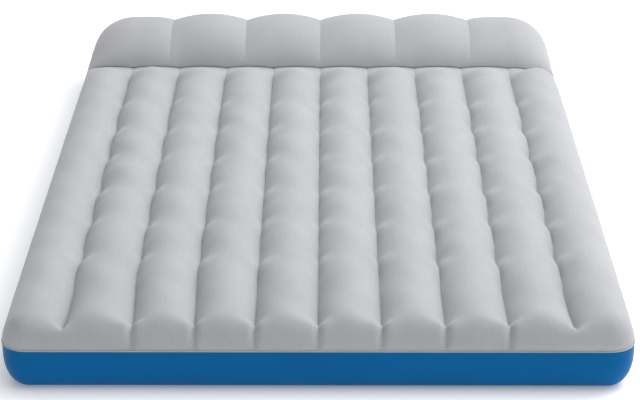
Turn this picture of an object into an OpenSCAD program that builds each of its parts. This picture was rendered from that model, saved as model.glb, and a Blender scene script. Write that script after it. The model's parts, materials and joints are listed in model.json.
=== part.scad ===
// Double camping air mattress with a built-in pillow and a two-stage side valve.
// Origin: middle of the underside. +X to the right, +Y from foot to head, +Z up. Millimetres.

/* [Mattress] */
// Width across the widest bulge of the side walls
mattress_w = 1270; // [1200:10:1400]
// Length from the foot to the back of the pillow
mattress_l = 1930; // [1860:10:2000]
// Height of the seam that joins the side wall to the top sheets
seam_h = 94; // [90:1:100]
// Number of lengthwise air channels
channels = 10; // [9:1:11]
// Radius of each inflated channel
channel_r = 70; // [68:1:72]
// Radius of the mattress corners, seen from above
corner_r = 55; // [50:1:70]
// How far the side wall tucks in at the floor
tuck_in = 40; // [34:1:44]
// Height over which the side wall tucks in
tuck_h = 66; // [60:1:74]
// Length of the rounded foot end of the channels
foot_round = 90; // [70:1:110]
// Length of the rounded head end of the channels
head_round = 120; // [60:1:140]

/* [Pillow] */
// Depth of the pillow, from its crease to the back of the mattress
pillow_d = 315; // [290:5:340]
// Height of the pillow's middle lobes above the floor
pillow_h = 222; // [215:1:245]
// Number of lobes across the pillow
pillow_lobes = 6; // [5:1:7]
// Distance between two pillow seams
pillow_pitch = 204; // [180:1:210]
// Depth of the seams between the lobes
lobe_depth = 20; // [12:1:26]
// Radius of the pillow's rounded ends, across the mattress
pillow_end_w = 105; // [90:1:120]
// Height of the crease in front of the pillow
crease_h = 122; // [116:1:126]

/* [Sheets and beams] */
// Thickness that stands for the welded vinyl sheets
sheet_t = 1.6; // [1.4:0.1:2]
// Width of the welded flanges of a beam
flange_w = 18; // [12:1:24]
// Number of air gaps along a channel beam
air_gaps = 6; // [4:1:7]
// Distance between two air gaps
gap_pitch = 191; // [180:1:200]
// Length of an air gap
gap_l = 60; // [50:1:80]
// Depth of an air gap below the seam
gap_depth = 34; // [24:1:40]

/* [Valve] */
// Place of the valve along the side wall
valve_y = 560; // [300:10:600]
// Height of the valve's centre
valve_z = 50; // [49:1:52]
// Downward tilt of the valve, square to the side wall
valve_tilt = 9; // [7:1:11]
// Radius of the welded patch
patch_r = 40; // [40:1:41]
// Bore radius of the collar
collar_r = 22; // [21.5:0.1:22.5]
// Bore radius of the inflation port
port_r = 8.5; // [8:0.1:9]

/* [Hidden] */

half_w = mattress_w / 2;
half_l = mattress_l / 2;
foot_y = -half_l;
head_y = half_l;
crease_y = head_y - pillow_d;
pitch = mattress_w / channels;
crest_h = seam_h + channel_r;
inner_valley_h = seam_h + sqrt(pow(channel_r - sheet_t, 2) - pow(pitch / 2, 2));
gap = 0.2;                 // clearance between two welded pieces
wall_clear = tuck_in + 6;  // beams stop this far inside the outermost bulge
beam_head_y = crease_y - flange_w / 2 - 1;
first_gap_y = foot_y + 325;
seam_clear = 5;            // depth of a beam's edge below the seam it is welded along
steps = 8;                 // facets of a quarter round
far = 3000;                // longer than the whole mattress
fine = 96;                 // facets of a small round

vinyl_blue = [0.02, 0.30, 0.50];
flock_grey = [0.72, 0.72, 0.74];
vinyl_clear = [0.80, 0.84, 0.88];
valve_grey = [0.35, 0.37, 0.40];
cap_blue = [0.03, 0.22, 0.42];

// Points along part of an ellipse
function ellipse_arc(cx, cy, a, b, from, to, n = steps) =
    [for (i = [0:n]) let (t = from + (to - from) * i / n) [cx + a * cos(t), cy + b * sin(t)]];

// Extrudes an (x, z) shape along Y
module along_y(from, to) {
    translate([0, to, 0]) rotate([90, 0, 0]) linear_extrude(to - from) children();
}

// Extrudes a (y, z) shape along X, centred
module along_x(length) {
    rotate([90, 0, 90]) linear_extrude(length, center = true) children();
}

// Rounded rectangle as seen from above, shrunk by inset
module plan(inset = 0) {
    r = corner_r - inset;
    x = half_w - corner_r;
    y = half_l - corner_r;
    union() {
        square([2 * x, 2 * (y + r)], center = true);
        square([2 * (x + r), 2 * y], center = true);
        for (sx = [-1, 1], sy = [-1, 1]) translate([sx * x, sy * y]) circle(r, $fn = fine);
    }
}

// Lower part of the side wall's section: distance out from the corner centre against height
function wall_outline(inset) =
    let (r = corner_r - inset)
    concat([[r, seam_h]], ellipse_arc(r - tuck_in + inset, tuck_h, tuck_in - inset, tuck_h - inset, 0, -90));

module wall_section() {
    outer = wall_outline(0);
    inner = wall_outline(sheet_t);
    n = len(inner);
    polygon(concat(outer, [for (i = [n - 1:-1:0]) inner[i]]));
}

module wall_ring() {
    x = half_w - corner_r;
    y = half_l - corner_r;
    for (side = [-1, 1]) {
        mirror([side < 0 ? 1 : 0, 0, 0]) translate([x, 0, 0]) along_y(-y, y) wall_section();
        mirror([0, side < 0 ? 1 : 0, 0]) translate([0, y, 0]) along_x(2 * x) wall_section();
    }
    for (mx = [0, 1], my = [0, 1])
        mirror([mx, 0, 0]) mirror([0, my, 0])
            translate([x, y, 0]) rotate_extrude(angle = 90, $fn = fine) wall_section();
}

// ---- envelope --------------------------------------------------------------------------

module bottom_sheet() {
    color(vinyl_blue)
        linear_extrude(sheet_t) plan(tuck_in + gap);
}

module side_wall() {
    color(vinyl_blue) difference() {
        wall_ring();
        at_valve() translate([0, 0, -30]) cylinder(r = patch_r + gap, h = 60, $fn = fine);
    }
}

// Side-by-side channels in the (x, z) plane; plan() trims them at the sides
module channel_section(inset) {
    base = inset > 0 ? 0 : seam_h;
    intersection() {
        union() {
            for (i = [0:channels - 1])
                translate([(i + 0.5) * pitch - half_w, seam_h]) circle(channel_r - inset, $fn = fine);
            translate([-mattress_w, 0]) square([2 * mattress_w, seam_h + 10]);
        }
        translate([-mattress_w, base]) square([2 * mattress_w, crest_h]);
    }
}

// Lengthwise outline of the channels in the (y, z) plane, domed at both ends
module channel_profile(inset) {
    b = channel_r - inset;
    hb = crest_h - crease_h;
    polygon(concat(
        [[foot_y + inset, 0], [foot_y + inset, seam_h]],
        ellipse_arc(foot_y + foot_round, seam_h, foot_round - inset, b, 180, 90),
        ellipse_arc(crease_y - head_round, crease_h - inset, head_round - inset - gap, hb, 90, 0),
        [[crease_y - inset - gap, 0]]));
}

module channel_body(inset) {
    intersection() {
        along_y(foot_y, head_y) channel_section(inset);
        along_x(far) channel_profile(inset);
        linear_extrude(far) plan(inset);
    }
}

module top_sheet() {
    color(flock_grey) difference() {
        channel_body(0);
        channel_body(sheet_t);
    }
}

// Height of the pillow across the mattress: shallow arcs between seams, rounded ends
function lobe_rise(x) =
    let (k = (abs(x) / pillow_pitch) % 1, even = (pillow_lobes % 2) == 0, u = even ? k : (k + 0.5) % 1)
    4 * u * (1 - u);

function pillow_top(x) = pillow_h - lobe_depth * (1 - lobe_rise(x));

module pillow_section(inset) {
    shoulder = half_w - pillow_end_w;
    top = [for (i = [-24:24]) let (x = shoulder * i / 24) [x, pillow_top(x) - inset]];
    edge_h = pillow_top(shoulder) - inset - seam_h;
    right = ellipse_arc(shoulder, seam_h, pillow_end_w - inset, edge_h, 90, 0);
    base = inset > 0 ? 0 : seam_h;
    polygon(concat(
        [[-half_w + inset, base]],
        [for (i = [len(right) - 1:-1:1]) [-right[i][0], right[i][1]]],
        top,
        [for (i = [1:len(right) - 1]) right[i]],
        [[half_w - inset, base]]));
}

// Lengthwise outline of the pillow in the (y, z) plane
module pillow_profile(inset, top = pillow_h) {
    mid_y = (crease_y + head_y) / 2;
    front_a = mid_y - crease_y - inset - gap;
    back_a = head_y - mid_y - inset;
    polygon(concat(
        [[crease_y + inset + gap, 0]],
        ellipse_arc(mid_y, crease_h - inset, front_a, top - crease_h, 180, 90),
        ellipse_arc(mid_y, seam_h, back_a, top - inset - seam_h, 90, 0),
        [[head_y - inset, 0]]));
}

module pillow_body(inset) {
    intersection() {
        along_y(foot_y, head_y + 10) pillow_section(inset);
        along_x(far) pillow_profile(inset);
        linear_extrude(far) plan(inset);
    }
}

module pillow_sheet() {
    color(flock_grey) difference() {
        pillow_body(0);
        pillow_body(sheet_t);
    }
}

// ---- beams inside ----------------------------------------------------------------------

// I-shaped section: a web between two welded flanges
module beam_section(top) {
    bottom = sheet_t + gap;
    translate([-flange_w / 2, bottom]) square([flange_w, sheet_t]);
    translate([-sheet_t / 2, bottom]) square([sheet_t, top - bottom]);
    translate([-flange_w / 2, top - sheet_t]) square([flange_w, sheet_t]);
}

// Lengthwise outline of a channel beam in the (y, z) plane; its top edge falls at both ends
module beam_profile(from, top) {
    drop = top - seam_h;
    polygon(concat(
        [[from, 0]],
        ellipse_arc(from + foot_round / 2, seam_h, foot_round / 2, drop, 180, 90),
        ellipse_arc(beam_head_y - head_round, seam_h, head_round, drop, 90, 0),
        [[beam_head_y, 0]]));
}

module channel_beam(k) {
    top = inner_valley_h - seam_clear;
    outermost = k == 1 || k == channels - 1;
    start_y = foot_y + (outermost ? foot_round : wall_clear);
    color(vinyl_clear) translate([k * pitch - half_w, 0, 0]) difference() {
        intersection() {
            along_y(start_y, beam_head_y) beam_section(top);
            along_x(far) beam_profile(start_y, top);
        }
        for (i = [0:air_gaps - 1])
            translate([0, first_gap_y + i * gap_pitch, top]) air_gap();
    }
}

// Scoop in a beam's top edge, where the sheet is left unwelded and air passes
module air_gap() {
    along_x(flange_w + 2) polygon(ellipse_arc(0, 0, gap_l / 2, gap_depth, 0, 360, 24));
}

module crease_beam() {
    top = seam_h - gap;
    color(vinyl_clear) difference() {
        translate([0, crease_y, 0])
            along_x(mattress_w - 2 * wall_clear) beam_section(top);
        for (i = [0:channels - 1])
            translate([(i + 0.5) * pitch - half_w, crease_y, top / 2])
                rotate([90, 0, 0]) cylinder(r = 24, h = 4 * sheet_t, center = true, $fn = 48);
    }
}

module pillow_beam(k) {
    x = (k - pillow_lobes / 2) * pillow_pitch;
    seam_top = pillow_h - lobe_depth;
    mid_y = (crease_y + head_y) / 2;
    color(vinyl_clear) difference() {
        intersection() {
            translate([x, 0, 0])
                along_y(crease_y + flange_w / 2 + 1, head_y - wall_clear) beam_section(seam_top - seam_clear);
            along_x(far) pillow_profile(seam_clear, seam_top);
        }
        for (dy = [-60, 60])
            translate([x, mid_y + dy, 70])
                rotate([0, 90, 0]) cylinder(r = 26, h = 4 * sheet_t, center = true, $fn = 48);
    }
}

// ---- valve: local +Z points out of the wall, local -X is up the wall ---------------------

valve_inset = 6.5;         // from the widest bulge to the valve's centre
clear = 0.3;               // between pieces that move against each other
collar_wall = 3;
collar_rim = -5;           // outer end of the collar
collar_depth = 21;
dish_rim = -6;             // where the dished patch meets its cylindrical edge
dish_floor = -12;          // where the patch meets the collar
rim_r = collar_r + collar_wall;
rim_t = 2.5;
gasket_t = 1;
rim_low = collar_rim + clear + gasket_t;
rim_top = rim_low + rim_t;
spigot_depth = 12;
spigot_t = 1.8;
boss_r = port_r + 3;
boss_top = rim_top + 3;
port_end = -12;            // inner end of the port tube
plug_axis_y = rim_r + 3.5;
plug_axis_z = (rim_low + rim_top) / 2;
plug_strap_w = 10;
plug_bead_r = 1.2;
cap_axis_y = -(boss_r + 5);
cap_axis_z = rim_top + 1.2;
cap_r = boss_r + 2.5;
cap_low = boss_top + clear;
cap_t = 1.6;
cap_strap_w = 8;
cap_bead_r = 0.9;
cheek_t = 1.5;             // ears beside a strap's bead
flap_axis_up = boss_r + 1.1;
flap_t = 0.8;
flap_w = 6;
flap_bead_r = 0.6;
flap_z = port_end - clear - flap_t;

module at_valve() {
    translate([half_w - valve_inset, valve_y, valve_z]) rotate([0, 90 + valve_tilt, 0]) children();
}

module ring(outer_r, inner_r, from, to) {
    difference() {
        translate([0, 0, from]) cylinder(r = outer_r, h = to - from, $fn = fine);
        translate([0, 0, from - 1]) cylinder(r = inner_r, h = to - from + 2, $fn = fine);
    }
}

// Two ears, one at each end of a bead of the given length on the x axis
module cheeks(length, y_from, y_to, z_from, z_to) {
    for (side = [0, 1])
        mirror([side, 0, 0])
            translate([length / 2 + clear, y_from, z_from]) cube([cheek_t, y_to - y_from, z_to - z_from]);
}

// Outer shape of the side wall as a solid, to trim the patch flush with it
module wall_solid() {
    outline = wall_outline(0);
    intersection() {
        translate([half_w - corner_r, 0, 0]) along_y(0, half_l - corner_r)
            polygon(concat([[-60, seam_h], [-60, 0]], [for (i = [len(outline) - 1:-1:0]) outline[i]]));
        translate([half_w - 100, valve_y - 100, 0]) cube([200, 200, 200]);
    }
}

module valve_patch() {
    inner_r = rim_r + gap;
    cone_r = rim_r + 4;
    color(vinyl_blue) union() {
        intersection() {
            at_valve() ring(patch_r, patch_r - sheet_t, dish_rim - 2, 14);
            wall_solid();
        }
        at_valve() rotate_extrude($fn = fine) polygon([
            [patch_r, dish_rim - sheet_t], [patch_r, dish_rim],
            [cone_r, dish_floor + sheet_t], [inner_r, dish_floor + sheet_t],
            [inner_r, dish_floor], [cone_r, dish_floor]]);
    }
}

module valve_collar() {
    flange_top = dish_floor - gap;
    lug_t = 2.4;
    lug_end = plug_axis_y + 2;
    color(valve_grey) at_valve() union() {
        ring(rim_r, collar_r, collar_rim - collar_depth, collar_rim);
        ring(rim_r + 6, collar_r, flange_top - 1.8, flange_top);
        // lug and ears that hold the plug's strap
        difference() {
            translate([-plug_strap_w / 2 - 2, collar_r + 1, collar_rim - lug_t])
                cube([plug_strap_w + 4, lug_end - collar_r - 1, lug_t]);
            translate([0, 0, collar_rim - 5]) cylinder(r = collar_r, h = 10, $fn = fine);
        }
        cheeks(plug_strap_w, plug_axis_y - 2, lug_end, collar_rim - lug_t, rim_top);
    }
}

module flap_keeper() {
    translate([-flap_axis_up - 2, -flap_w / 2 - 2, port_end]) cube([3, flap_w + 4, rim_low - port_end]);
}

module deflate_plug() {
    color(valve_grey) at_valve() difference() {
        union() {
            translate([0, 0, rim_low]) cylinder(r = rim_r, h = rim_t, $fn = fine);
            translate([0, 0, rim_low - spigot_depth])
                cylinder(r1 = collar_r - 2.8, r2 = collar_r - 0.6, h = spigot_depth, $fn = fine);
            translate([0, 0, rim_top]) cylinder(r = boss_r, h = boss_top - rim_top, $fn = fine);
            cheeks_on_plug();
            flap_cheeks();
        }
        difference() {
            translate([0, 0, rim_low - spigot_depth - 1])
                cylinder(r1 = collar_r - 2.8 - spigot_t, r2 = collar_r - 0.6 - spigot_t, h = spigot_depth + 1,
                         $fn = fine);
            translate([0, 0, port_end]) cylinder(r = boss_r, h = 30, $fn = fine);
            flap_keeper();
            flap_cheeks();
        }
        translate([0, 0, -40]) cylinder(r = port_r, h = 80, $fn = fine);
    }
}

module cheeks_on_plug() {
    cheeks(cap_strap_w, cap_axis_y - 1.6, cap_axis_y + 1.6, rim_top - 0.5, cap_axis_z + 1);
}

// Ears beside the flap's bead, below the keeper
module flap_cheeks() {
    rotate([0, 0, 90])
        cheeks(flap_w, flap_axis_up - 1, flap_axis_up + 2, flap_z, port_end + 1);
}

module plug_gasket() {
    color("white") at_valve() ring(collar_r + 2.4, collar_r + 0.4, rim_low - gasket_t, rim_low);
}

// Strap of the plug: leaf on the rim and a round bead on the hinge axis
module plug_strap() {
    leaf_t = 1.6;
    color(valve_grey) at_valve() difference() {
        union() {
            translate([-plug_strap_w / 2, rim_r - 1, plug_axis_z - leaf_t / 2])
                cube([plug_strap_w, plug_axis_y - rim_r + 1, leaf_t]);
            bead(plug_strap_w, plug_bead_r, plug_axis_y, plug_axis_z);
        }
        translate([0, 0, plug_axis_z - 5]) cylinder(r = rim_r, h = 10, $fn = fine);
    }
}

// Round bar along the x axis
module bead(length, r, y, z) {
    translate([-length / 2, y, z]) rotate([0, 90, 0]) cylinder(r = r, h = length, $fn = 32);
}

module check_flap() {
    color("white") at_valve() union() {
        translate([0, 0, flap_z]) cylinder(r = port_r + 2, h = flap_t, $fn = fine);
        translate([-flap_axis_up, -flap_w / 2, flap_z]) cube([4, flap_w, flap_t]);
        rotate([0, 0, 90]) bead(flap_w, flap_bead_r, flap_axis_up, flap_z + flap_t / 2);
    }
}

module inflate_cap() {
    tab_w = 10;
    tab_l = 4;
    color(cap_blue) at_valve() union() {
        ring(cap_r, boss_r + 0.6, rim_top + 0.8, cap_low);
        translate([0, 0, cap_low]) cylinder(r = cap_r, h = cap_t, $fn = fine);
        translate([-tab_w / 2, cap_r - 1, cap_low]) cube([tab_w, tab_l + 1, cap_t]);
    }
}

// Strap of the cap: leaf on the skirt and a round bead on the hinge axis
module cap_strap() {
    color(cap_blue) at_valve() difference() {
        union() {
            translate([-cap_strap_w / 2, cap_axis_y, cap_axis_z - 0.4])
                cube([cap_strap_w, -cap_axis_y - cap_r + 1, 1.3]);
            bead(cap_strap_w, cap_bead_r, cap_axis_y, cap_axis_z);
        }
        translate([0, 0, cap_axis_z - 5]) cylinder(r = cap_r, h = 10, $fn = fine);
    }
}

bottom_sheet();
side_wall();
top_sheet();
pillow_sheet();
channel_beam(1);  // channel_beam_1
channel_beam(2);  // channel_beam_2
channel_beam(3);  // channel_beam_3
channel_beam(4);  // channel_beam_4
channel_beam(5);  // channel_beam_5
channel_beam(6);  // channel_beam_6
channel_beam(7);  // channel_beam_7
channel_beam(8);  // channel_beam_8
channel_beam(9);  // channel_beam_9
crease_beam();
pillow_beam(1);  // pillow_beam_1
pillow_beam(2);  // pillow_beam_2
pillow_beam(3);  // pillow_beam_3
pillow_beam(4);  // pillow_beam_4
pillow_beam(5);  // pillow_beam_5
valve_patch();
valve_collar();
deflate_plug();
plug_gasket();
plug_strap();
check_flap();
inflate_cap();
cap_strap();
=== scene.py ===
"""Double camping air mattress: a flocked top and pillow, inflated, and a blue side with a valve."""
import json
import math

import bpy
import numpy as np
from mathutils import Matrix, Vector


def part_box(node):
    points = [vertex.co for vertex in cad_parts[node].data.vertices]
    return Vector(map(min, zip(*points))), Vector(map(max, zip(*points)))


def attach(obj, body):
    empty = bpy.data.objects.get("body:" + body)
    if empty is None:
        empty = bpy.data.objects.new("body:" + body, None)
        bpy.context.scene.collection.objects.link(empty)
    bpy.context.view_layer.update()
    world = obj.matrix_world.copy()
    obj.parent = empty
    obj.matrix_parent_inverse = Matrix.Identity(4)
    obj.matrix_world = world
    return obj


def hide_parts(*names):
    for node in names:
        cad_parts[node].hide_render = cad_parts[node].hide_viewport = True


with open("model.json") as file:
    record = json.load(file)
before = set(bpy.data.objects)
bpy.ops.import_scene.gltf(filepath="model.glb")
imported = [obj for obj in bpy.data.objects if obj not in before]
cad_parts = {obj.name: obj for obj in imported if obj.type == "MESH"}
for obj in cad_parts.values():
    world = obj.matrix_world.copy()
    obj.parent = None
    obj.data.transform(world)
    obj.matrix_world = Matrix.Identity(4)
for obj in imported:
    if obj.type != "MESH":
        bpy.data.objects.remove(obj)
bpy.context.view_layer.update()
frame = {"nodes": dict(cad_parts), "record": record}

# ---- sizes, in metres, all from the frame -------------------------------------------------
TOP_LOW, TOP_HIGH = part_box("top_sheet")
PILLOW_LOW, PILLOW_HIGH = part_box("pillow_sheet")
FLOOR_LOW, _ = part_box("bottom_sheet")
HALF_W = TOP_HIGH.x                       # to the widest bulge of the side wall
FOOT, HEAD = TOP_LOW.y, PILLOW_HIGH.y     # the two ends
CREASE = (TOP_HIGH.y + PILLOW_LOW.y) / 2  # where the pillow meets the channels
SEAM_H = TOP_LOW.z                        # height of the weld round the side wall
CREST_H = TOP_HIGH.z                      # top of the channels
PILLOW_H = PILLOW_HIGH.z                  # top of the pillow's lobes
TUCK = FLOOR_LOW.x + HALF_W               # how far the wall tucks in at the floor
CHANNELS, LOBES = 10, 6
PITCH = 2 * HALF_W / CHANNELS             # of the channels
CORNER_R = 0.055                          # of the mattress, seen from above
TUCK_H = 0.066                            # height over which the wall tucks in
VALLEY_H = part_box("channel_beam_2")[1].z + 0.009  # of the seams between the channels
LOBE_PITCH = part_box("pillow_beam_4")[1].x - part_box("pillow_beam_3")[1].x
SHEET_T = 0.0016                          # thickness that stands for the vinyl sheets
CELL = 0.008                              # size of a mesh cell of the sheets
PORT = next(m for m in frame["record"]["mounts"] if m["name"] == "inflation_port")
VALVE, VALVE_OUT = Vector(PORT["pos_m"]), Vector(PORT["axis"])
VALVE_HOLE_R = 0.0402                     # of the opening in the side wall round the valve patch
BODY = "mattress"                         # what every piece here rides on


# ---- small helpers ------------------------------------------------------------------------
def smooth(x):
    """0 below 0, 1 above 1, and a smooth step between."""
    x = np.clip(x, 0, 1)
    return x * x * (3 - 2 * x)


def cells(length):
    """How many mesh cells fit a length."""
    return max(2, round(length / CELL))


def new_object(name, points, faces, material, smooth_shaded=True):
    mesh = bpy.data.meshes.new(name)
    corners = [tuple(map(float, p)) for p in points]
    mesh.from_pydata(corners, [], [tuple(map(int, f)) for f in faces])
    mesh.validate()
    mesh.update()
    if smooth_shaded:
        mesh.shade_smooth()
    piece = bpy.data.objects.new(name, mesh)
    bpy.context.collection.objects.link(piece)
    mesh.materials.append(material)
    return piece


def grid_faces(rows, columns, wrap=False):
    """Quads of a grid of rows times columns points, closed on itself across if wrap."""
    last = columns if wrap else columns - 1
    return [(r * columns + c, r * columns + (c + 1) % columns,
             (r + 1) * columns + (c + 1) % columns, (r + 1) * columns + c)
            for r in range(rows - 1) for c in range(last)]


def tube_faces(rings, columns):
    """Quads of a tube that goes round and closes on itself: the last ring joins the first."""
    last = (rings - 1) * columns
    joint = [(last + c, last + (c + 1) % columns, (c + 1) % columns, c) for c in range(columns)]
    return grid_faces(rings, columns, True) + joint


def rounded_corner(x, y, end_y, inward, inset=0.0):
    """Maps the square corners at ±HALF_W and end_y to round ones.

    inward is the sign of the way in along Y, and inset makes the corner's radius smaller.
    """
    cx, cy, r = HALF_W - CORNER_R, end_y + inward * CORNER_R, CORNER_R - inset
    u = np.clip((np.abs(x) - cx) / r, 0, 1)
    v = np.clip(-inward * (y - cy) / r, 0, 1)
    inside = (u > 0) & (v > 0)
    x_new = np.sign(x) * (cx + r * u * np.sqrt(1 - v * v / 2))
    y_new = cy - inward * r * v * np.sqrt(1 - u * u / 2)
    return np.where(inside, x_new, x), np.where(inside, y_new, y)


def mark_sharp(piece, marks):
    """Gives the sheet crisp edges: at marks[row, column], the one from that point to the next row."""
    columns = marks.shape[1]
    ends = np.zeros(len(piece.data.edges) * 2, np.int32)
    piece.data.edges.foreach_get("vertices", ends)
    low, high = np.sort(ends.reshape(-1, 2), axis=1).T
    flags = (high - low == columns) & marks[low // columns, low % columns]
    piece.data.attributes.new("sharp_edge", "BOOLEAN", "EDGE").data.foreach_set("value", flags)


def keep_result(piece):
    """Applies the piece's modifiers to its mesh."""
    result = piece.evaluated_get(bpy.context.evaluated_depsgraph_get())
    mesh = bpy.data.meshes.new_from_object(result)
    piece.modifiers.clear()
    piece.data = mesh


def thicken(piece, thickness=SHEET_T):
    """Gives a sheet its thickness, inward."""
    solid = piece.modifiers.new("Thickness", "SOLIDIFY")
    solid.thickness, solid.offset = thickness, -1
    keep_result(piece)


def on_mattress(piece, slot, *replaced):
    """The piece rides on the mattress and may stand for CAD nodes; slot is not used."""
    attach(piece, BODY)
    if replaced:
        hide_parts(*replaced)


# ---- the flocked top sheet ------------------------------------------------------------------
SIDE_ROUND = 0.062      # how far the outer channels round over to the side weld
ARC_CELLS = 10          # mesh cells from the top of a channel to its seam
SIDE_CELLS = 13         # and over the rounded side of an outer channel
FOOT_CELLS = 16         # and over the rounded foot end
FOOT_ROUND = 0.060      # length of the channels' rounded foot end
FOOT_POWER = 3.0        # 2 is an ellipse; more is squarer
WELD_END = 0.048        # from the foot to the first weld of an inner seam
OUTER_WELD_END = 0.035  # the same for the two outermost seams
WELD_RISE = 0.040       # length over which a seam rises from there towards the foot
RAISED, OUTER_RAISED = 0.8, 0.95  # share of the way up that the inner and outermost seams rise there
RAISED_W = 0.6 * PITCH  # how far out from the seam that reaches
GAPS = 6                # unwelded places along each seam, where air passes under the sheet
FIRST_GAP = FOOT + 0.312
GAP_PITCH = 0.191
GAP_L = 0.048           # half the length of a gap
GAP_DRIFT = 0.010       # how far the gaps are from an even spacing
GAP_RISE = 0.010        # how far the sheet lifts where it isn't welded
SADDLE_W = 0.036        # how far out from the seam that lift reaches
WAIST = 0.004           # how much lower the inner channels are beside the gaps
WAIST_END = 0.05        # length over which that starts and ends
SWAY = 0.0035           # how far the outer seams are drawn aside in turn between the gaps
FLARE, FLARE_L = 0.006, 0.12  # how far the outer seams turn outward, and over what length at the foot
FOOT_DRIFT = 0.011      # how far the seams left of the middle are drawn aside at the foot
DRIFT_AT, DRIFT_W, DRIFT_L = -2.8 * PITCH, 2.2 * PITCH, 0.3  # where, how wide and how long
LUMP = 0.0028           # height of the soft lumps of the flocked top
FRONT_CREASE, CREASE_WIDTH = 0.0065, 0.007  # depth and half width of the seams' creases down the foot end
CREASE_FALL = 0.122     # length over which the channels sink to the crease before the pillow
CREASE_LOW = 0.123      # height of that crease at the seams
CREASE_ARCH = 0.005     # how much higher it is between them
CREASE_DROP = 0.002, 0.019  # how much lower it is at the left and right side
VALLEY_SHARE = (VALLEY_H - SEAM_H) / (CREST_H - SEAM_H)


def channel_arc(half_chord, rise):
    """Points along a circular arc from its top to its end: distance out and height below the top."""
    radius = (half_chord ** 2 + rise ** 2) / (2 * rise)
    a = np.linspace(0, math.asin(half_chord / radius), ARC_CELLS + 1)
    return radius * np.sin(a), radius * (1 - np.cos(a))


def top_section():
    """Across the mattress: x, height share of a full channel, and the columns that lie on the seams."""
    rise = CREST_H - VALLEY_H
    crest = CREST_H - SEAM_H
    out, drop = channel_arc(PITCH / 2, rise)
    channel_x = np.concatenate([-out[:0:-1], out])
    channel_h = crest - np.concatenate([drop[:0:-1], drop])
    a = np.linspace(0, math.pi / 2, SIDE_CELLS + 1)
    side_x = -HALF_W + SIDE_ROUND * (1 - np.cos(a))
    out, drop = channel_arc(PITCH - SIDE_ROUND, rise)
    x = [*side_x, *(side_x[-1] + out[1:])]
    h = [*(crest * np.sin(a)), *(crest - drop[1:])]
    seams = [len(x) - 1]
    for k in range(1, CHANNELS - 1):
        middle = (k + 0.5) * PITCH - HALF_W
        x += [*(middle + channel_x[1:])]
        h += [*channel_h[1:]]
        seams.append(len(x) - 1)
    x += [*(-np.array(x[:seams[0]])[::-1])]
    h += h[:seams[0]][::-1]
    return np.array(x), np.array(h) / crest, seams


def crown(h):
    """From 0 at a seam to 1 at the top of a channel, for a height share."""
    return np.clip((h - VALLEY_SHARE) / (1 - VALLEY_SHARE), 0, 1)


def top_rows():
    """Along the mattress: y, share of the full height, and share of the way down to the crease."""
    a = np.linspace(0, math.pi / 2, FOOT_CELLS + 1)
    foot_y = FOOT + FOOT_ROUND * (1 - np.cos(a) ** (2 / FOOT_POWER))
    rest_y = np.linspace(foot_y[-1], CREASE, cells(CREASE - foot_y[-1]) + 1)[1:]
    y = np.concatenate([foot_y, rest_y])
    full = np.concatenate([np.sin(a) ** (2 / FOOT_POWER), np.ones(len(rest_y))])
    return y, full, smooth(1 - (CREASE - y) / CREASE_FALL)


def crease_line(xs):
    """Height of the crease between the channels and the pillow."""
    sx, sh, _ = top_section()
    h = np.interp(xs, sx, sh)
    drop = np.where(xs < 0, *CREASE_DROP) * smooth((np.abs(xs) - HALF_W + PITCH) / PITCH)
    return np.minimum(CREASE_LOW + CREASE_ARCH * crown(h) - drop, SEAM_H + (CREST_H - SEAM_H) * h)


def gap_share(y, seam):
    """1 in the middle of a gap, 0 on the seam's welds. The gaps drift in a wave from seam to seam."""
    share = np.zeros_like(y)
    for k in range(GAPS):
        middle = FIRST_GAP + k * GAP_PITCH + GAP_DRIFT * math.sin(2.4 * k + 1.7 * seam)
        d = np.abs(y - middle) / GAP_L
        share = np.maximum(share, np.where(d < 1, np.cos(d * math.pi / 2) ** 2, 0))
    return share


def sway(y):
    """Sideways wave of a seam: quickest at the gaps, and none past the first and last."""
    wave = np.sin(2 * math.pi * (FIRST_GAP - y) / GAP_PITCH)
    start, end = FIRST_GAP - GAP_PITCH, FIRST_GAP + (GAPS - 0.5) * GAP_PITCH
    return wave * smooth((y - start) / GAP_PITCH) * smooth((end - y) / GAP_PITCH)


def waist(y):
    """1 beside the gaps and 0 between them, in a soft wave."""
    wave = 0.5 + 0.5 * np.cos(2 * math.pi * (y - FIRST_GAP) / GAP_PITCH)
    start, end = FIRST_GAP - GAP_PITCH / 2, CREASE - CREASE_FALL
    return wave * smooth((y - start) / WAIST_END) * smooth((end - y) / WAIST_END)


def lumps(x, y):
    """Soft uneven swell of the flocked top, within -1 and 1; its lumps are 0.13 to 0.27 m apart."""
    along = np.sin(31 * y + 11 * x + 1.5 * np.sin(6 * x))
    long_waves = along * np.sin(23 * x - 5 * y + 1.2 * np.sin(7 * y))
    short_waves = np.sin(47 * x + 0.6) * np.sin(43 * y + 19 * x + 2.0)
    return 0.65 * long_waves + 0.35 * short_waves


def foot_drift(x, y):
    """How far the sheet is drawn aside near the foot."""
    return FOOT_DRIFT * smooth(1 - np.abs(x - DRIFT_AT) / DRIFT_W) * (1 - smooth((y - FOOT) / DRIFT_L))


def foot_flare(x, y, seam_x):
    """How far the sheet round an outermost seam turns outward at the foot."""
    near = smooth(1 - np.abs(x - seam_x) / PITCH)
    return math.copysign(FLARE, seam_x) * near * (1 - smooth((y - FOOT) / FLARE_L))


def foot_end(y, weld_end):
    """1 at the foot, falling to 0 where a seam's welds begin."""
    return 1 - smooth((y - FOOT - weld_end + WELD_RISE) / WELD_RISE)


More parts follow.
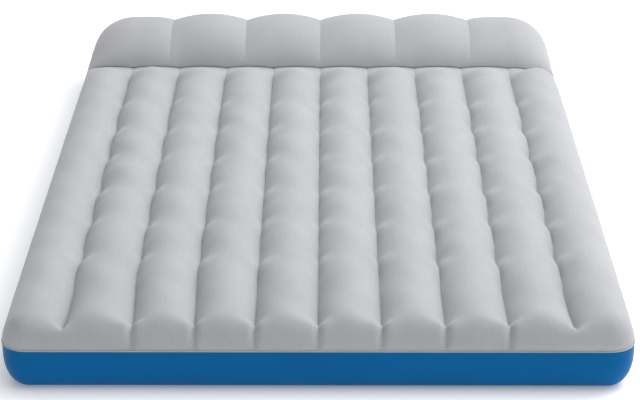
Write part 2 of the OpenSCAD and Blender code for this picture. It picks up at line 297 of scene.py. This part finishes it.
def seam_effects(x, y, seam_xs):
    """What the seams do round them: lift in the gaps, raise and crease the foot end, turn outward."""
    lift, raised, crease, outward = (np.zeros_like(x) for _ in range(4))
    for k, seam_x in enumerate(seam_xs):
        off = np.abs(x - seam_x)
        near = smooth(1 - off / RAISED_W)
        lift = np.maximum(lift, gap_share(y, k) * smooth(1 - off / SADDLE_W))
        if 0 < k < len(seam_xs) - 1:
            end = foot_end(y, WELD_END)
            raised = np.maximum(raised, RAISED * end * near)
            crease = np.maximum(crease, np.exp(-(off / CREASE_WIDTH) ** 2) * end)
        else:
            raised = np.maximum(raised, OUTER_RAISED * foot_end(y, OUTER_WELD_END) * near)
            outward += foot_flare(x, y, seam_x)
    return lift, raised, crease, outward


def border(shape):
    """Marks the outermost points of a grid."""
    marks = np.zeros(shape, bool)
    marks[0, :] = marks[-1, :] = marks[:, 0] = marks[:, -1] = True
    return marks


def top_welds(ry, seams, columns):
    """Which points of the top's grid are welded down, and its crisp edges."""
    welded = border((len(ry), columns))
    crisp = np.zeros_like(welded)
    for k, column in enumerate(seams):
        on_seam = (0 < k < len(seams) - 1) | (ry > FOOT + OUTER_WELD_END)
        welded[on_seam & (gap_share(ry, k) == 0), column] = True
        crisp[on_seam, column] = True
    return welded, crisp


def top_sheet_shape():
    """Start shape of the flocked top, which of its points are welded down, and its crisp edges."""
    sx, sh, seams = top_section()
    ry, row_share, fall = top_rows()
    x, y = np.meshgrid(sx, ry)
    h, full = np.meshgrid(sh, row_share)
    lift, raised, crease, outward = seam_effects(x, y, sx[seams])
    rise = h * full
    rise += (full - rise) * raised
    inner = smooth((sx[seams[-1]] + SIDE_ROUND - np.abs(x)) / SIDE_ROUND)
    fold = FRONT_CREASE * crease * np.minimum(full * 3, 1)
    z = SEAM_H + (CREST_H - SEAM_H) * rise + GAP_RISE * lift - WAIST * waist(y) * crown(h) * inner
    z += LUMP * lumps(x, y) * crown(h) * full - fold
    z += (np.minimum(crease_line(sx), z) - z) * fall[:, None]
    outward += SWAY * sway(y) * x / HALF_W * smooth((HALF_W - np.abs(x)) / PITCH) + foot_drift(x, y)
    x, y = rounded_corner(x + outward, y + fold, FOOT, 1)
    return np.stack([x, y, z], -1), *top_welds(ry, seams, len(sx))


# ---- the flocked pillow ---------------------------------------------------------------------
PILLOW_END = 0.122      # length of the pillow's rounded ends, across the mattress
END_CELLS = 22          # mesh cells over a rounded end
OVER_CELLS = 58         # mesh cells over the pillow, from the crease to the head
LOBE_DEPTH = 0.020      # of the seams between the lobes
OUTER_DROP = 0.010      # how much lower the outermost lobes are
OUTER_FALL = 0.1        # width over which they get lower
PILLOW_TOP = 0.45       # where the pillow is highest, as a share of its depth
PILLOW_LEAN = 0.85      # under 1, its front leans back from the crease
LOBE_SEAM = CREASE + 0.005, HEAD - 0.03  # where the lobes' seams begin and end


def pillow_section():
    """Across the pillow: x, height of the lobes above the side weld, and the columns on the seams."""
    shoulder = HALF_W - PILLOW_END
    a = np.linspace(0, math.pi / 2, END_CELLS + 1)
    end_x = -HALF_W + PILLOW_END * (1 - np.cos(a))
    stops = [-shoulder, *((k - LOBES / 2) * LOBE_PITCH for k in range(1, LOBES)), shoulder]
    x, seams = [*end_x], []
    for low, high in zip(stops, stops[1:]):
        x += [*np.linspace(low, high, cells(high - low) + 1)[1:]]
        seams.append(len(x) - 1)
    x = np.array([*x, *(-end_x[::-1][1:])])
    across = 2 * ((np.abs(x) / LOBE_PITCH) % 1) - 1
    outer = smooth((np.abs(x) - (LOBES / 2 - 1) * LOBE_PITCH) / OUTER_FALL)
    full = PILLOW_H - SEAM_H - LOBE_DEPTH * across ** 2 - OUTER_DROP * outer
    side = np.clip((HALF_W - np.abs(x)) / PILLOW_END, 0, 1)
    at_shoulder = full[np.argmin(np.abs(x + shoulder))]
    full = np.where(np.abs(x) > shoulder, at_shoulder * np.sqrt(1 - (1 - side) ** 2), full)
    return x, full, seams[:-1]


def pillow_rows():
    """Over the pillow from crease to head: y, share of the full height, and if it is before the top."""
    b = np.linspace(0, math.pi, OVER_CELLS + 1)
    depth = HEAD - CREASE
    front = CREASE + depth * PILLOW_TOP * (1 - np.cos(np.minimum(b, math.pi / 2))) ** PILLOW_LEAN
    back = HEAD - depth * (1 - PILLOW_TOP) * (1 + np.cos(b))
    ahead = b < math.pi / 2
    return np.where(ahead, front, back), np.sin(b), ahead


def pillow_sheet_shape():
    """Start shape of the flocked pillow, which of its points are welded down, and its crisp edges."""
    sx, full, seams = pillow_section()
    ry, share, ahead = pillow_rows()
    x, y = np.meshgrid(sx, ry)
    base = np.where(ahead[:, None], crease_line(sx), SEAM_H)
    z = base + np.maximum(SEAM_H + full - base, 0) * share[:, None]
    x, y = rounded_corner(x, y, HEAD, -1)
    crisp = np.zeros(x.shape, bool)
    crisp[np.ix_((ry > LOBE_SEAM[0]) & (ry < LOBE_SEAM[1]), seams)] = True
    return np.stack([x, y, z], -1), border(x.shape) | crisp, crisp


# ---- inflating ------------------------------------------------------------------------------
PRESSURE = 30
FRAMES = 26             # long enough for the sheets to settle


def set_cloth(cloth, held):
    """Thin vinyl that stretches very little, pressed out evenly, with the held points fixed."""
    s = cloth.settings
    s.quality = 6
    s.mass = 0.02
    s.air_damping = 4
    s.tension_stiffness = s.compression_stiffness = 60
    s.shear_stiffness = 12
    s.bending_stiffness = 0.3
    s.tension_damping = s.compression_damping = 8
    s.shear_damping = 8
    s.bending_damping = 0.5
    s.use_pressure = True
    s.uniform_pressure_force = PRESSURE
    s.vertex_group_mass = held
    s.effector_weights.gravity = 0
    cloth.collision_settings.use_collision = False
    cloth.collision_settings.use_self_collision = False
    cloth.point_cache.frame_end = FRAMES


def inflate(piece, welded):
    """Presses the sheet outward with its welds held, by cloth simulation, and keeps the result."""
    held = piece.vertex_groups.new(name="welds")
    held.add([int(i) for i in np.flatnonzero(welded)], 1.0, "REPLACE")
    cloth = piece.modifiers.new("Inflate", "CLOTH")
    set_cloth(cloth, held.name)
    scene = bpy.context.scene
    for f in range(1, FRAMES + 1):
        scene.frame_set(f)
    settled = piece.evaluated_get(bpy.context.evaluated_depsgraph_get())
    points = np.zeros(len(piece.data.vertices) * 3, np.float32)
    settled.data.vertices.foreach_get("co", points)
    piece.modifiers.remove(cloth)
    piece.vertex_groups.remove(held)
    piece.data.vertices.foreach_set("co", points)
    piece.data.update()
    scene.frame_set(1)


# ---- the blue side wall and the bottom ------------------------------------------------------
CORNER_STEPS = 14       # facets of a corner, seen from above
WALL_CELL = 0.012       # length of a mesh cell along the side wall
WALL_ROWS = 16          # mesh cells up the side wall
PUCKER = 0.0009         # depth of the small creases at the wall's corners
PUCKER_IN, PUCKER_R = 0.03, 0.09  # where they are deepest, in from a corner, and how far they reach
HIDDEN = 0.004          # how far a welded flange reaches in behind the wall
FLANGE_T = 0.0014       # thickness of the welded flanges
GROOVE, GROOVE_W = 0.0014, 0.007  # depth and half width of the beams' weld lines seen from below
GROOVE_END, GROOVE_FADE = 0.02, 0.05  # where they end, in from the floor's edge, and how slowly
BASE_T = 0.0005         # thickness of the bottom sheet
ROUND = 96              # facets round the valve


def outline():
    """Points round the mattress at its widest bulge, seen from above."""
    corners = []
    for sx, sy, start in ((1, -1, -90), (1, 1, 0), (-1, 1, 90), (-1, -1, 180)):
        for i in range(CORNER_STEPS + 1):
            t = math.radians(start + 90 * i / CORNER_STEPS)
            corners.append((sx * (HALF_W - CORNER_R) + CORNER_R * math.cos(t),
                            sy * (HEAD - CORNER_R) + CORNER_R * math.sin(t)))
    points = []
    for (xa, ya), (xb, yb) in zip(corners, corners[1:] + corners[:1]):
        n = max(1, round(math.hypot(xb - xa, yb - ya) / WALL_CELL))
        points += [(xa + (xb - xa) * i / n, ya + (yb - ya) * i / n) for i in range(n)]
    return points


def moved_in(point, inset):
    """A point of the outline moved in by inset, or out if it is negative, so that corners stay round."""
    x, y = point
    dx = x - math.copysign(HALF_W - CORNER_R, x) if abs(x) > HALF_W - CORNER_R else 0
    dy = y - math.copysign(HEAD - CORNER_R, y) if abs(y) > HEAD - CORNER_R else 0
    d = math.hypot(dx, dy)
    return x - dx / d * inset, y - dy / d * inset


def wall_inset(z):
    """How far in the side wall's outside is at a height."""
    if z >= TUCK_H:
        return 0.0
    return TUCK * (1 - math.sqrt(max(0, 1 - ((TUCK_H - z) / TUCK_H) ** 2)))


def pucker(x, y, z):
    """Fine upright creases where the wall is gathered round a corner, deepest at its top weld."""
    away = math.hypot(abs(x) - HALF_W + PUCKER_IN, abs(y) - HEAD + PUCKER_IN)
    depth = PUCKER * float(smooth(1 - away / PUCKER_R)) * (z / SEAM_H) ** 2
    return depth * math.sin(290 * (x - y) + 1.3 * math.sin(90 * x))


def side_wall(material):
    """The blue wall as a closed shell, with the opening for the valve."""
    base = outline()
    down = [SEAM_H * (1 - i / WALL_ROWS) for i in range(WALL_ROWS + 1)]
    points = []
    for layer, heights in ((0, down), (SHEET_T, down[::-1])):
        for z in heights:
            ring = [moved_in(p, wall_inset(z) + layer) for p in base]
            points += [(*moved_in(q, pucker(*p, z)), z) for p, q in zip(base, ring)]
    wall = new_object("side_band", points, tube_faces(2 * len(down), len(base)), material)
    cut_valve_opening(wall)
    wall.data.set_sharp_from_angle(angle=math.radians(50))
    return wall


def cut_valve_opening(wall, reach=0.04):
    """Cuts a round hole through the wall on the valve's axis."""
    turn = VALVE_OUT.to_track_quat("Z", "Y").to_euler()
    bpy.ops.mesh.primitive_cylinder_add(vertices=ROUND, radius=VALVE_HOLE_R, depth=2 * reach,
                                        location=VALVE, rotation=turn)
    cutter = bpy.context.active_object
    opening = wall.modifiers.new("Valve opening", "BOOLEAN")
    opening.operation, opening.solver, opening.object = "DIFFERENCE", "EXACT", cutter
    keep_result(wall)
    bpy.data.objects.remove(cutter)


def onto_wall(point):
    """Slides a point along the valve's axis until it lies on the wall's outside."""
    for _ in range(6):
        point = point + VALVE_OUT * (HALF_W - wall_inset(point.z) - point.x) / VALVE_OUT.x
    return point


def valve_weld(material, width=0.007, height=0.0013, overlap=0.0022, sunk=0.0003, rings=5):
    """The raised weld round the valve patch: a low ring that follows the wall."""
    along = Vector((0, 1, 0))
    up = VALVE_OUT.cross(along).normalized()
    points = []
    for k in range(rings):
        share = k / (rings - 1)
        r = VALVE_HOLE_R - overlap + width * share
        lift = height * math.sin(math.pi * share) - sunk
        for i in range(ROUND):
            t = 2 * math.pi * i / ROUND
            around = math.cos(t) * up + math.sin(t) * along
            points.append(onto_wall(VALVE + r * around) + VALVE_OUT * lift)
    return new_object("valve_weld", points, grid_faces(rings, ROUND, True), material)


def weld_lip(name, material, height, inset, reach):
    """A thin welded flange that runs round the mattress, with a blunt tip."""
    base = outline()
    section = (-HIDDEN, -0.5), (reach * 0.8, -0.5), (reach, 0), (reach * 0.8, 0.5), (-HIDDEN, 0.5)
    points = [(*moved_in(p, inset - out), height + share * FLANGE_T)
              for out, share in section for p in base]
    return new_object(name, points, tube_faces(len(section), len(base)), material)


def bottom(material):
    """The blue underside: flat on the floor, with shallow grooves where the beams are welded on."""
    half, reach = HALF_W - TUCK, HEAD - TUCK
    straight = reach - 0.03
    grooves = [(k - CHANNELS / 2) * PITCH for k in range(1, CHANNELS)]
    xs = {side * (half - CORNER_R * share) for side in (-1, 1) for share in (0, 0.05, 0.13, 0.27)}
    xs |= {x + GROOVE_W * step for x in grooves for step in (-1, -0.5, 0, 0.5, 1)}
    ys = np.concatenate([np.linspace(-reach, -straight, 6), np.linspace(-straight, straight, 60)[1:],
                         np.linspace(straight, reach, 6)[1:]])
    x, y = np.meshgrid(sorted(xs), ys)
    z = np.zeros_like(x)
    for groove in grooves:
        z = np.maximum(z, GROOVE * smooth(1 - np.abs(x - groove) / GROOVE_W))
    z *= smooth((reach - GROOVE_END - np.abs(y)) / GROOVE_FADE)
    x, y = rounded_corner(x, y, FOOT, 1, TUCK)
    x, y = rounded_corner(x, y, HEAD, -1, TUCK)
    faces = [f[::-1] for f in grid_faces(len(ys), len(xs))]
    sheet = new_object("base_sheet", np.stack([x, y, z], -1).reshape(-1, 3), faces, material)
    thicken(sheet, BASE_T)
    return sheet


# ---- materials ------------------------------------------------------------------------------
class Nodes:
    """Short helpers to build a material's nodes."""

    def __init__(self, name, **values):
        self.material = bpy.data.materials.new(name)
        self.material.use_nodes = True
        self.tree = self.material.node_tree
        self.shader = self.tree.nodes["Principled BSDF"]
        for key, value in values.items():
            self.shader.inputs[key.replace("_", " ")].default_value = value
        self.place = self.add("ShaderNodeTexCoord").outputs["Object"]

    def add(self, kind, **settings):
        node = self.tree.nodes.new(kind)
        for key, value in settings.items():
            setattr(node, key, value)
        return node

    def link(self, a, b):
        self.tree.links.new(a, b)

    def noise(self, scale, detail=2.0, roughness=0.5, stretch=None):
        """Noise over the object; stretch is a scale of its own along each axis."""
        n = self.add("ShaderNodeTexNoise")
        n.inputs["Scale"].default_value = scale
        n.inputs["Detail"].default_value = detail
        n.inputs["Roughness"].default_value = roughness
        place = self.place
        if stretch:
            scaled = self.add("ShaderNodeVectorMath", operation="MULTIPLY")
            scaled.inputs[1].default_value = stretch
            self.link(place, scaled.inputs[0])
            place = scaled.outputs["Vector"]
        self.link(place, n.inputs["Vector"])
        return n.outputs["Fac"]

    def multiply(self, a, b):
        m = self.add("ShaderNodeVectorMath", operation="MULTIPLY")
        self.link(a, m.inputs[0])
        self.link(b, m.inputs[1])
        return m.outputs["Vector"]

    def spread(self, value, low, high):
        """The value's middle range as a number from low to high."""
        m = self.add("ShaderNodeMapRange")
        m.inputs["From Min"].default_value, m.inputs["From Max"].default_value = 0.3, 0.7
        m.inputs["To Min"].default_value, m.inputs["To Max"].default_value = low, high
        self.link(value, m.inputs["Value"])
        return m.outputs["Result"]

    def ramp(self, value, stops):
        r = self.add("ShaderNodeValToRGB")
        while len(r.color_ramp.elements) < len(stops):
            r.color_ramp.elements.new(0.5)
        for e, (at, colour) in zip(r.color_ramp.elements, stops):
            e.position = at
            e.color = (*colour, 1)
        self.link(value, r.inputs["Fac"])
        return r.outputs["Color"]

    def bump(self, height, distance, strength=1.0, below=None):
        b = self.add("ShaderNodeBump")
        b.inputs["Strength"].default_value = strength
        b.inputs["Distance"].default_value = distance
        self.link(height, b.inputs["Height"])
        if below is not None:
            self.link(below, b.inputs["Normal"])
        return b.outputs["Normal"]


def tinted(colour, share):
    return tuple(c * share for c in colour)


def flock(name, colour):
    """Short velvety flock: soft cloudy patches, a nap brushed lengthwise and a fine, uneven pile."""
    m = Nodes(name, Roughness=0.95, Sheen_Weight=0.25, Sheen_Roughness=0.5, Specular_IOR_Level=0.1)
    cloud = m.ramp(m.noise(7, 4, 0.6), [(0.3, tinted(colour, 0.95)), (0.7, tinted(colour, 1.03))])
    nap = m.ramp(m.noise(1, 3, 0.6, stretch=(260, 16, 60)), [(0.35, (0.955,) * 3), (0.65, (1, 1, 1))])
    m.link(m.multiply(cloud, nap), m.shader.inputs["Base Color"])
    pile = m.bump(m.noise(520, 3, 0.7), 0.0010, 0.45)
    m.link(m.bump(m.noise(38, 3, 0.6), 0.0012, 0.25, below=pile), m.shader.inputs["Normal"])
    return m.material


def vinyl(name, colour, roughness=0.42, specular=0.10, **values):
    """Soft welded vinyl: faint fine grain, slightly uneven gloss and shade."""
    m = Nodes(name, Specular_IOR_Level=specular, **values)
    shade = m.ramp(m.noise(6, 3), [(0.35, tinted(colour, 0.93)), (0.65, colour)])
    m.link(shade, m.shader.inputs["Base Color"])
    m.link(m.spread(m.noise(14, 3), roughness - 0.06, roughness + 0.08), m.shader.inputs["Roughness"])
    fine = m.bump(m.noise(620, 2), 0.0004, 0.3)
    m.link(m.bump(m.noise(24, 2), 0.0015, 0.12, below=fine), m.shader.inputs["Normal"])
    return m.material


def moulded(name, colour, roughness=0.38, edge=0.0004, **values):
    """Injection-moulded plastic with softened edges, a fine satin texture and slight flow marks."""
    m = Nodes(name, Specular_IOR_Level=0.4, **values)
    shade = m.ramp(m.noise(90, 3), [(0.3, tinted(colour, 0.9)), (0.7, colour)])
    m.link(shade, m.shader.inputs["Base Color"])
    m.link(m.spread(m.noise(160, 3), roughness - 0.05, roughness + 0.1), m.shader.inputs["Roughness"])
    soft_edge = m.add("ShaderNodeBevel", samples=4)
    soft_edge.inputs["Radius"].default_value = edge
    satin = m.bump(m.noise(2600, 2), 0.00008, 0.4, below=soft_edge.outputs["Normal"])
    m.link(satin, m.shader.inputs["Normal"])
    return m.material


def paint(material, *nodes):
    """Gives CAD nodes that stay in view a better material."""
    for node in nodes:
        slots = frame["nodes"][node].data.materials
        slots.clear()
        slots.append(material)


# ---- stage ----------------------------------------------------------------------------------
def camera():
    data = bpy.data.cameras.new("camera")
    data.sensor_width = 36
    data.lens = 113.7
    eye = bpy.data.objects.new("camera", data)
    eye.location = (0.013, -4.539, 1.938)
    eye.rotation_euler = (math.radians(90 - 23.0), 0, math.radians(0.15))
    data.clip_start, data.clip_end = 0.1, 50
    bpy.context.collection.objects.link(eye)
    bpy.context.scene.camera = eye


def area_light(name, place, target, size, power):
    data = bpy.data.lights.new(name, "AREA")
    data.size, data.energy = size, power
    lamp = bpy.data.objects.new(name, data)
    lamp.location = place
    lamp.rotation_euler = (Vector(target) - Vector(place)).to_track_quat("-Z", "Y").to_euler()
    bpy.context.collection.objects.link(lamp)


def sky(strength, rest, towards, sharp):
    """A soft dome of studio light, brightest in one direction, with the rest of the dome dimmer."""
    world = bpy.data.worlds.new("studio")
    world.use_nodes = True
    tree = world.node_tree
    place = tree.nodes.new("ShaderNodeTexCoord")
    dot = tree.nodes.new("ShaderNodeVectorMath")
    dot.operation = "DOT_PRODUCT"
    dot.inputs[1].default_value = Vector(towards).normalized()
    tree.links.new(place.outputs["Generated"], dot.inputs[0])
    spread = tree.nodes.new("ShaderNodeMapRange")
    spread.interpolation_type = "SMOOTHSTEP"
    spread.inputs["From Min"].default_value, spread.inputs["From Max"].default_value = sharp
    spread.inputs["To Min"].default_value, spread.inputs["To Max"].default_value = rest, strength
    tree.links.new(dot.outputs["Value"], spread.inputs["Value"])
    tree.nodes["Background"].inputs["Color"].default_value = (1, 1, 1, 1)
    tree.links.new(spread.outputs["Result"], tree.nodes["Background"].inputs["Strength"])
    bpy.context.scene.world = world


def stage():
    m = Nodes("stage_white", Roughness=0.9, Specular_IOR_Level=0.0, Base_Color=(0.96, 0.96, 0.96, 1),
              Emission_Color=(1, 1, 1, 1), Emission_Strength=0.2)
    floor = new_object("floor", [(-20, -20, 0), (20, -20, 0), (20, 20, 0), (-20, 20, 0)], [(0, 1, 2, 3)],
                       m.material, False)
    floor.location.z = -0.0005
    sky(1.82, 0.29, towards=(0.46, 0.15, 0.75), sharp=(0.33, 1.0))
    area_light("head_light", (0.9, 2.2, 2.6), (0, 0.5, 0.1), 2.5, 26)
    area_light("pillow_light", (1.4, -0.4, 2.0), (0.1, 0.95, 0.15), 1.2, 23)
    bpy.context.scene.view_settings.view_transform = "Standard"


def run(line):
    """Length of a line of points."""
    return float(np.linalg.norm(np.diff(line, axis=0), axis=1).sum())


def flocked(name, shape, material, node):
    """One of the two flocked sheets: its start shape, inflated between its welds.

    Its flat size is the start shape's own, over the channels or lobes and along its middle column.
    """
    points, welded, crisp = shape()
    rows, columns = welded.shape
    piece = new_object(name, points.reshape(-1, 3), grid_faces(rows, columns), material)
    inflate(piece, welded)
    mark_sharp(piece, crisp)
    thicken(piece)
    on_mattress(piece, "flock_grey", node)


camera()
stage()
grey = flock("flocked_vinyl_grey", (0.402, 0.409, 0.428))
blue = vinyl("vinyl_blue", (0.0, 0.115, 0.325), specular=0.06)
weld_grey = vinyl("weld_grey", (0.50, 0.53, 0.57), roughness=0.5)
clear = vinyl("vinyl_clear", (0.62, 0.68, 0.74), roughness=0.3, specular=0.3, Transmission_Weight=0.35)
valve_grey = moulded("valve_grey", (0.2, 0.21, 0.23))
cap_blue = moulded("cap_blue", (0.0, 0.06, 0.16))
silicone = moulded("silicone", (0.75, 0.75, 0.73), roughness=0.5, Subsurface_Weight=0.3,
                   Subsurface_Scale=0.002)

flocked("flocked_top", top_sheet_shape, grey, "top_sheet")
flocked("flocked_pillow", pillow_sheet_shape, grey, "pillow_sheet")

band = side_wall(blue)
on_mattress(band, "vinyl_blue", "side_wall")
run(outline())
base = bottom(blue)
on_mattress(base, "vinyl_blue", "bottom_sheet")
on_mattress(weld_lip("top_weld", weld_grey, SEAM_H, 0, 0.0018), "flock_grey")
on_mattress(weld_lip("base_weld", blue, 0.0014, TUCK, 0.004), "vinyl_blue")
on_mattress(valve_weld(blue), "vinyl_blue")

beams = [n for n in frame["nodes"] if "_beam" in n]
paint(clear, *beams)
paint(blue, "valve_patch")
paint(valve_grey, "valve_collar", "deflate_plug", "plug_strap")
paint(cap_blue, "inflate_cap", "cap_strap")
paint(silicone, "plug_gasket", "check_flap")
